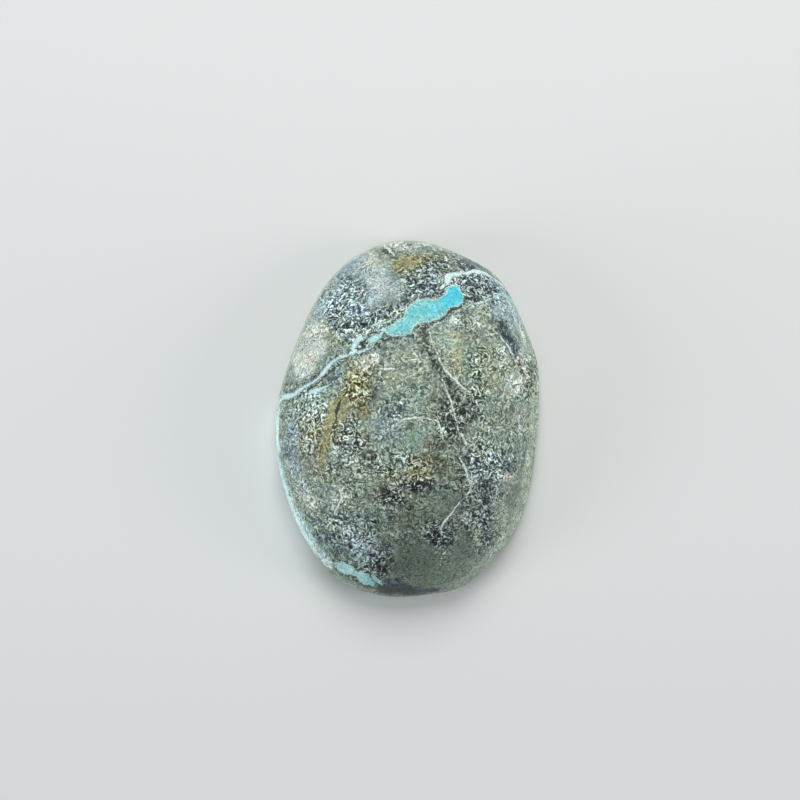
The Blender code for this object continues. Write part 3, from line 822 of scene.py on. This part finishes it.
# Noises in the rock: size across in millimetres, detail, roughness. They run from -0.5 to 0.5
evenNoises = {
    "cloud": (1.1, 3, 0.6),
    "tone": (3.0, 2, 0.5),
    "middling": (0.8, 2, 0.6),
    "fine": (0.1, 2, 0.6),
    "warmth": (1.7, 3, 0.6),
}
# These are stirred, so that they look like worms
stirredNoises = {
    "grain": (0.23, 1.2, 0.5),
    "rag": (0.31, 1, 0.5),
    "wrinkle": (0.12, 0, 0.5),
    "thread": (0.36, 1, 0.5),
}

# How the noises make the rock's pattern. A pair of numbers is where something begins and where it is
# full. Wander is how far the cloud noise moves that, and wear is how far the fraying noise does
pattern = {
    "stirSize": 0.65,
    "stirBy": 1.0,
    "grainFineness": 0.22,
    "groundShares": {"middling": 0.6, "tone": 0.4},
    "groundEdge": (-0.1, 0.1),
    "zoneRaggedness": {"cloud": 0.9, "rag": 0.9},
    "zoneEdge": (0.05, 1.05),
    "wallWander": 1.4,
    "wallEdge": (0.3, 0.9),
    # how much paler the wall is: partly the less polished wall itself, partly a painted highlight along the
    # rim
    "wallPalenessAndHighlight": 0.45,
    "wallCalm": 0.4,
    "warmthEdge": (-0.12, 0.12),
    "warmthShare": 0.8,
    "speckleWander": 1.3,
    "speckleEdge": (0, 1),
    "darkGrain": (-0.035, -0.08),
    "lightGrain": (0.05, 0.11),
    "coarseWander": 1.4,
    "coarseEdge": (0.1, 1.2),
    "paleGrain": 0.2,
    "paleGrainWhereCoarse": 0.4,
    "threadEdge": (0.04, 0.005),   # hair-thin dark lines
    "threadShares": {"middling": 1, "fine": 0.8},
    "threadPlaces": (-0.12, 0.04),
    "lightness": 1.18,
    "shading": {"middling": 0.8, "fine": 1.1, "wrinkle": 2.1, "grain": 1.6},
    "lightLift": 0.75,
    "darkDepth": 0.92,
    "threadDepth": 0.72,
    # how much the dim zones darken: the rock's tone, and painted shade over the lower end
    "dimAndShadeDepth": 0.32,
    "fraying": {"grain": 0.5, "fine": 0.25, "cloud": 0.5},
    "lineSoftness": 0.07,
    "veinMottling": 0.8,
    "seamWander": 2.4,
    "seamWear": 2,
    "seamEdge": (0.16, 0.05),
    "seamShare": 0.8,
}

# The turquoise is paler near its edge and in its wrinkles, and deep blue where it is purest
turquoiseWork = {
    "insideWear": 1.5,
    "insideEdge": (0, -0.5),
    "wrinkleShares": {"wrinkle": 1, "cloud": 0.7},
    "wrinkleEdge": (0, 0.3),
    "wrinklePaleness": 0.45,
    "richEdge": (0.1, 0.8),
    "poorEdge": (-0.1, -0.6),
    "lightness": 0.95,
    "shading": {"fine": 0.9, "grain": 1.1},
}

# The surface's roughness and its bumps
surface = {
    "fineRoughness": 0.2,
    "darkRoughness": 0.12,
    "bumps": {"fine": 0.3, "grain": 1},
    "darkPits": 0.6,
    "crackDepth": 1.5,
    "bumpStrength": 0.8,
    "bumpDistance": 0.06,
    "sawnDirection": (0.04, 1, 1),   # the saw's marks on the back run along X
    "sawnSize": 0.3,
    "sawnDepth": 3,
}

# Coats of paint on the lines, one over another: line, how far past its edge in millimetres, how worn
# that edge is, share, colour
# The pale skin down the left wall is partly a painted highlight, where the light from the left catches it
skinAndHighlightCoat = ("paleSkinAndHighlight", 0.1, 2.5, 0.8, "skinAndHighlight")
crackCoat = ("darkCrack", 0.06, 1.6, 0.85, "crackDark")
lineCoats = (
    crackCoat,
    ("paleVein", 0.12, 1.4, 0.7, "crackDark"),
    ("paleVein", 0.02, 0.8, 0.95, "veinPale"),
    ("whiteVein", 0.12, 1.4, 0.7, "crackDark"),
    ("whiteVein", 0.02, 0.8, 0.95, "veinWhite"),
    ("paleCrack", 0.13, 1.4, 0.5, "crackDark"),
    ("paleCrack", 0.045, 0.5, 1, "crackPale"),
    ("hairCrack", 0.08, 0.35, 0.9, "crackDark"),
    ("turquoiseBody", 0.2, 2, 0.85, "crackDark"),
    ("turquoiseBody", 0.08, 0.8, 1, "turquoiseRim"),
)
bodyEdge = ("turquoiseBody", 0, 0.9)

# Zones whose colours cover the ground, one over another
colourZones = ("olive", "teal", "green", "cream", "blue", "umber", "slateAndShade", "brown", "ochre", "dark")


class StonePaint(Paint):
    # The rock, coat by coat
    def __init__(self):
        super().__init__("polishedStone")
        self.where = self.node("ShaderNodeTexCoord", {}, {}, "Object")
        bent = self.stirred(self.where, pattern["stirSize"], pattern["stirBy"])
        self.noises = {name: self.swing(self.where, *values) for name, values in evenNoises.items()}
        self.noises.update((name, self.swing(bent, *values)) for name, values in stirredNoises.items())
        self.noises["grain"] += self.noises["fine"] * pattern["grainFineness"]
        self.fray = self.blend(pattern["fraying"])
        self.wall = self.ramp(self.field("wall", pattern["wallWander"]), pattern["wallEdge"])
        speckle = self.field("speckle", pattern["speckleWander"]) + stoneFinish["usualSpeckle"]
        self.speckle = self.ramp(speckle, pattern["speckleEdge"]) * (1 - self.wall * pattern["wallCalm"])
        self.darkWorms = self.ramp(self.noises["grain"], pattern["darkGrain"]) * self.speckle

    def field(self, name, wander=0, wear=0):
        # The value laid at each point, moved by noise
        value = super().field(name)
        if wander:
            value = value + self.noises["cloud"] * wander
        return value + self.fray * wear if wear else value

    def blend(self, shares, start=0):
        # Sum of noises, each with its share
        for name, share in shares.items():
            start = start + self.noises[name] * share
        return start

    def line(self, name, past, wear):
        # 1 on a line and past its edge by so many millimetres, with the edge worn by the noise
        return self.ramp(self.field(name, wear=wear), (past, past - pattern["lineSoftness"]))

    def rock(self):
        look = stoneFinish
        share = self.ramp(self.blend(pattern["groundShares"]), pattern["groundEdge"])
        colour = self.mix(share, look["host"], look["hostLight"])
        ragged = self.blend(pattern["zoneRaggedness"])
        for name in colourZones:
            colour = self.mix(self.ramp(self.field(name) + ragged, pattern["zoneEdge"]), colour, look[name])
        # Pale skin down the left wall, partly a painted highlight
        name, past, wear, share, skinAndHighlight = skinAndHighlightCoat
        colour = self.mix(self.line(name, past, wear) * share, colour, look[skinAndHighlight])
        # The wall is made paler: partly the less polished wall itself, partly a painted highlight along the
        # rim
        colour = self.vector("SCALE", colour, 1 + self.wall * pattern["wallPalenessAndHighlight"])
        warmth = self.ramp(self.noises["warmth"], pattern["warmthEdge"])
        tint = self.mix(warmth, look["cool"], look["warm"])
        return self.mix(pattern["warmthShare"], colour, tint, "MULTIPLY")

    def grains(self, colour):
        # Dark and pale worms, strong where the rock is coarse, and dark threads between them
        light = self.ramp(self.noises["grain"], pattern["lightGrain"]) * self.speckle
        coarse = self.ramp(self.field("speckle", pattern["coarseWander"]), pattern["coarseEdge"])
        share = light * (pattern["paleGrain"] + coarse * pattern["paleGrainWhereCoarse"])
        colour = self.mix(share, colour, stoneFinish["paleGrain"])

        threads = self.ramp(abs(self.noises["thread"]), pattern["threadEdge"])
        threads = threads * self.ramp(self.blend(pattern["threadShares"]), pattern["threadPlaces"])
        shade = self.blend(pattern["shading"], pattern["lightness"]) + light * pattern["lightLift"]
        shade = shade * (1 - self.darkWorms * pattern["darkDepth"])
        shade = shade * (1 - threads * pattern["threadDepth"])
        # Darker in the dim zones: partly the rock's tone, partly painted shade over the lower end
        shade = shade * (1 - self.field("dimAndShade") * pattern["dimAndShadeDepth"])
        return self.vector("SCALE", colour, shade)

    def lines(self, colour):
        mottling = 1 + self.noises["grain"] * pattern["veinMottling"]
        for name, past, wear, share, coat in lineCoats:
            coatColour = stoneFinish[coat]
            if coat.startswith("vein"):
                coatColour = self.vector("SCALE", coatColour, mottling)
            colour = self.mix(self.line(name, past, wear) * share, colour, coatColour)
        seam = abs(self.field("seam", pattern["seamWander"])) + self.fray * pattern["seamWear"]
        seam = self.ramp(seam, pattern["seamEdge"]) * self.field("onBack")
        return self.mix(seam * pattern["seamShare"], colour, stoneFinish["veinPale"])

    def turquoise(self, colour):
        look, work = stoneFinish, turquoiseWork
        inside = self.ramp(self.field("turquoiseBody", wear=work["insideWear"]), work["insideEdge"])
        body = self.mix(inside, look["turquoisePale"], look["turquoise"])
        wrinkled = self.ramp(self.blend(work["wrinkleShares"]), work["wrinkleEdge"])
        body = self.mix(wrinkled * work["wrinklePaleness"], body, look["turquoiseRim"])
        purity = self.field("rich", 1)
        body = self.mix(self.ramp(purity, work["richEdge"]), body, look["turquoiseRich"])
        body = self.mix(self.ramp(purity, work["poorEdge"]), body, look["turquoiseRim"])
        body = self.vector("SCALE", body, self.blend(work["shading"], work["lightness"]))
        return self.mix(self.line(*bodyEdge), colour, body)

    def roughness(self):
        look = stoneFinish
        rough = look["roughness"] + self.noises["fine"] * surface["fineRoughness"]
        rough = rough + self.darkWorms * surface["darkRoughness"]
        rough = rough + self.field("onBack") * (look["backRoughness"] - look["roughness"])
        return rough + self.field("rough") * (look["roughSkin"] - look["roughness"])

    def bump(self):
        crack = self.line(*crackCoat[:3]) * surface["crackDepth"]
        height = self.blend(surface["bumps"]) - self.darkWorms * surface["darkPits"] - crack
        stretched = self.vector("MULTIPLY", self.where, surface["sawnDirection"])
        sawn = self.noise(stretched, surface["sawnSize"], 2) * self.field("onBack")
        height = height + sawn * surface["sawnDepth"]
        sockets = {"Strength": surface["bumpStrength"], "Distance": surface["bumpDistance"] * mm}
        return self.node("ShaderNodeBump", {}, {**sockets, "Height": height})


def stonePaint():
    paint = StonePaint()
    colour = paint.turquoise(paint.lines(paint.grains(paint.rock())))
    paint.put(paint.shader.inputs["Base Color"], colour)
    paint.put(paint.shader.inputs["Roughness"], paint.roughness())
    paint.put(paint.shader.inputs["Normal"], paint.bump())
    paint.put(paint.shader.inputs["Specular IOR Level"], stoneFinish["specular"])
    return paint.material


stone, shift = makeStone()
stone.data.materials.append(stonePaint())
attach(stone, "root")
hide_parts("turquoise_stone")
print("stone finished")

makeCamera(shift)
makeFloor()
makeLights()
print("studio set")
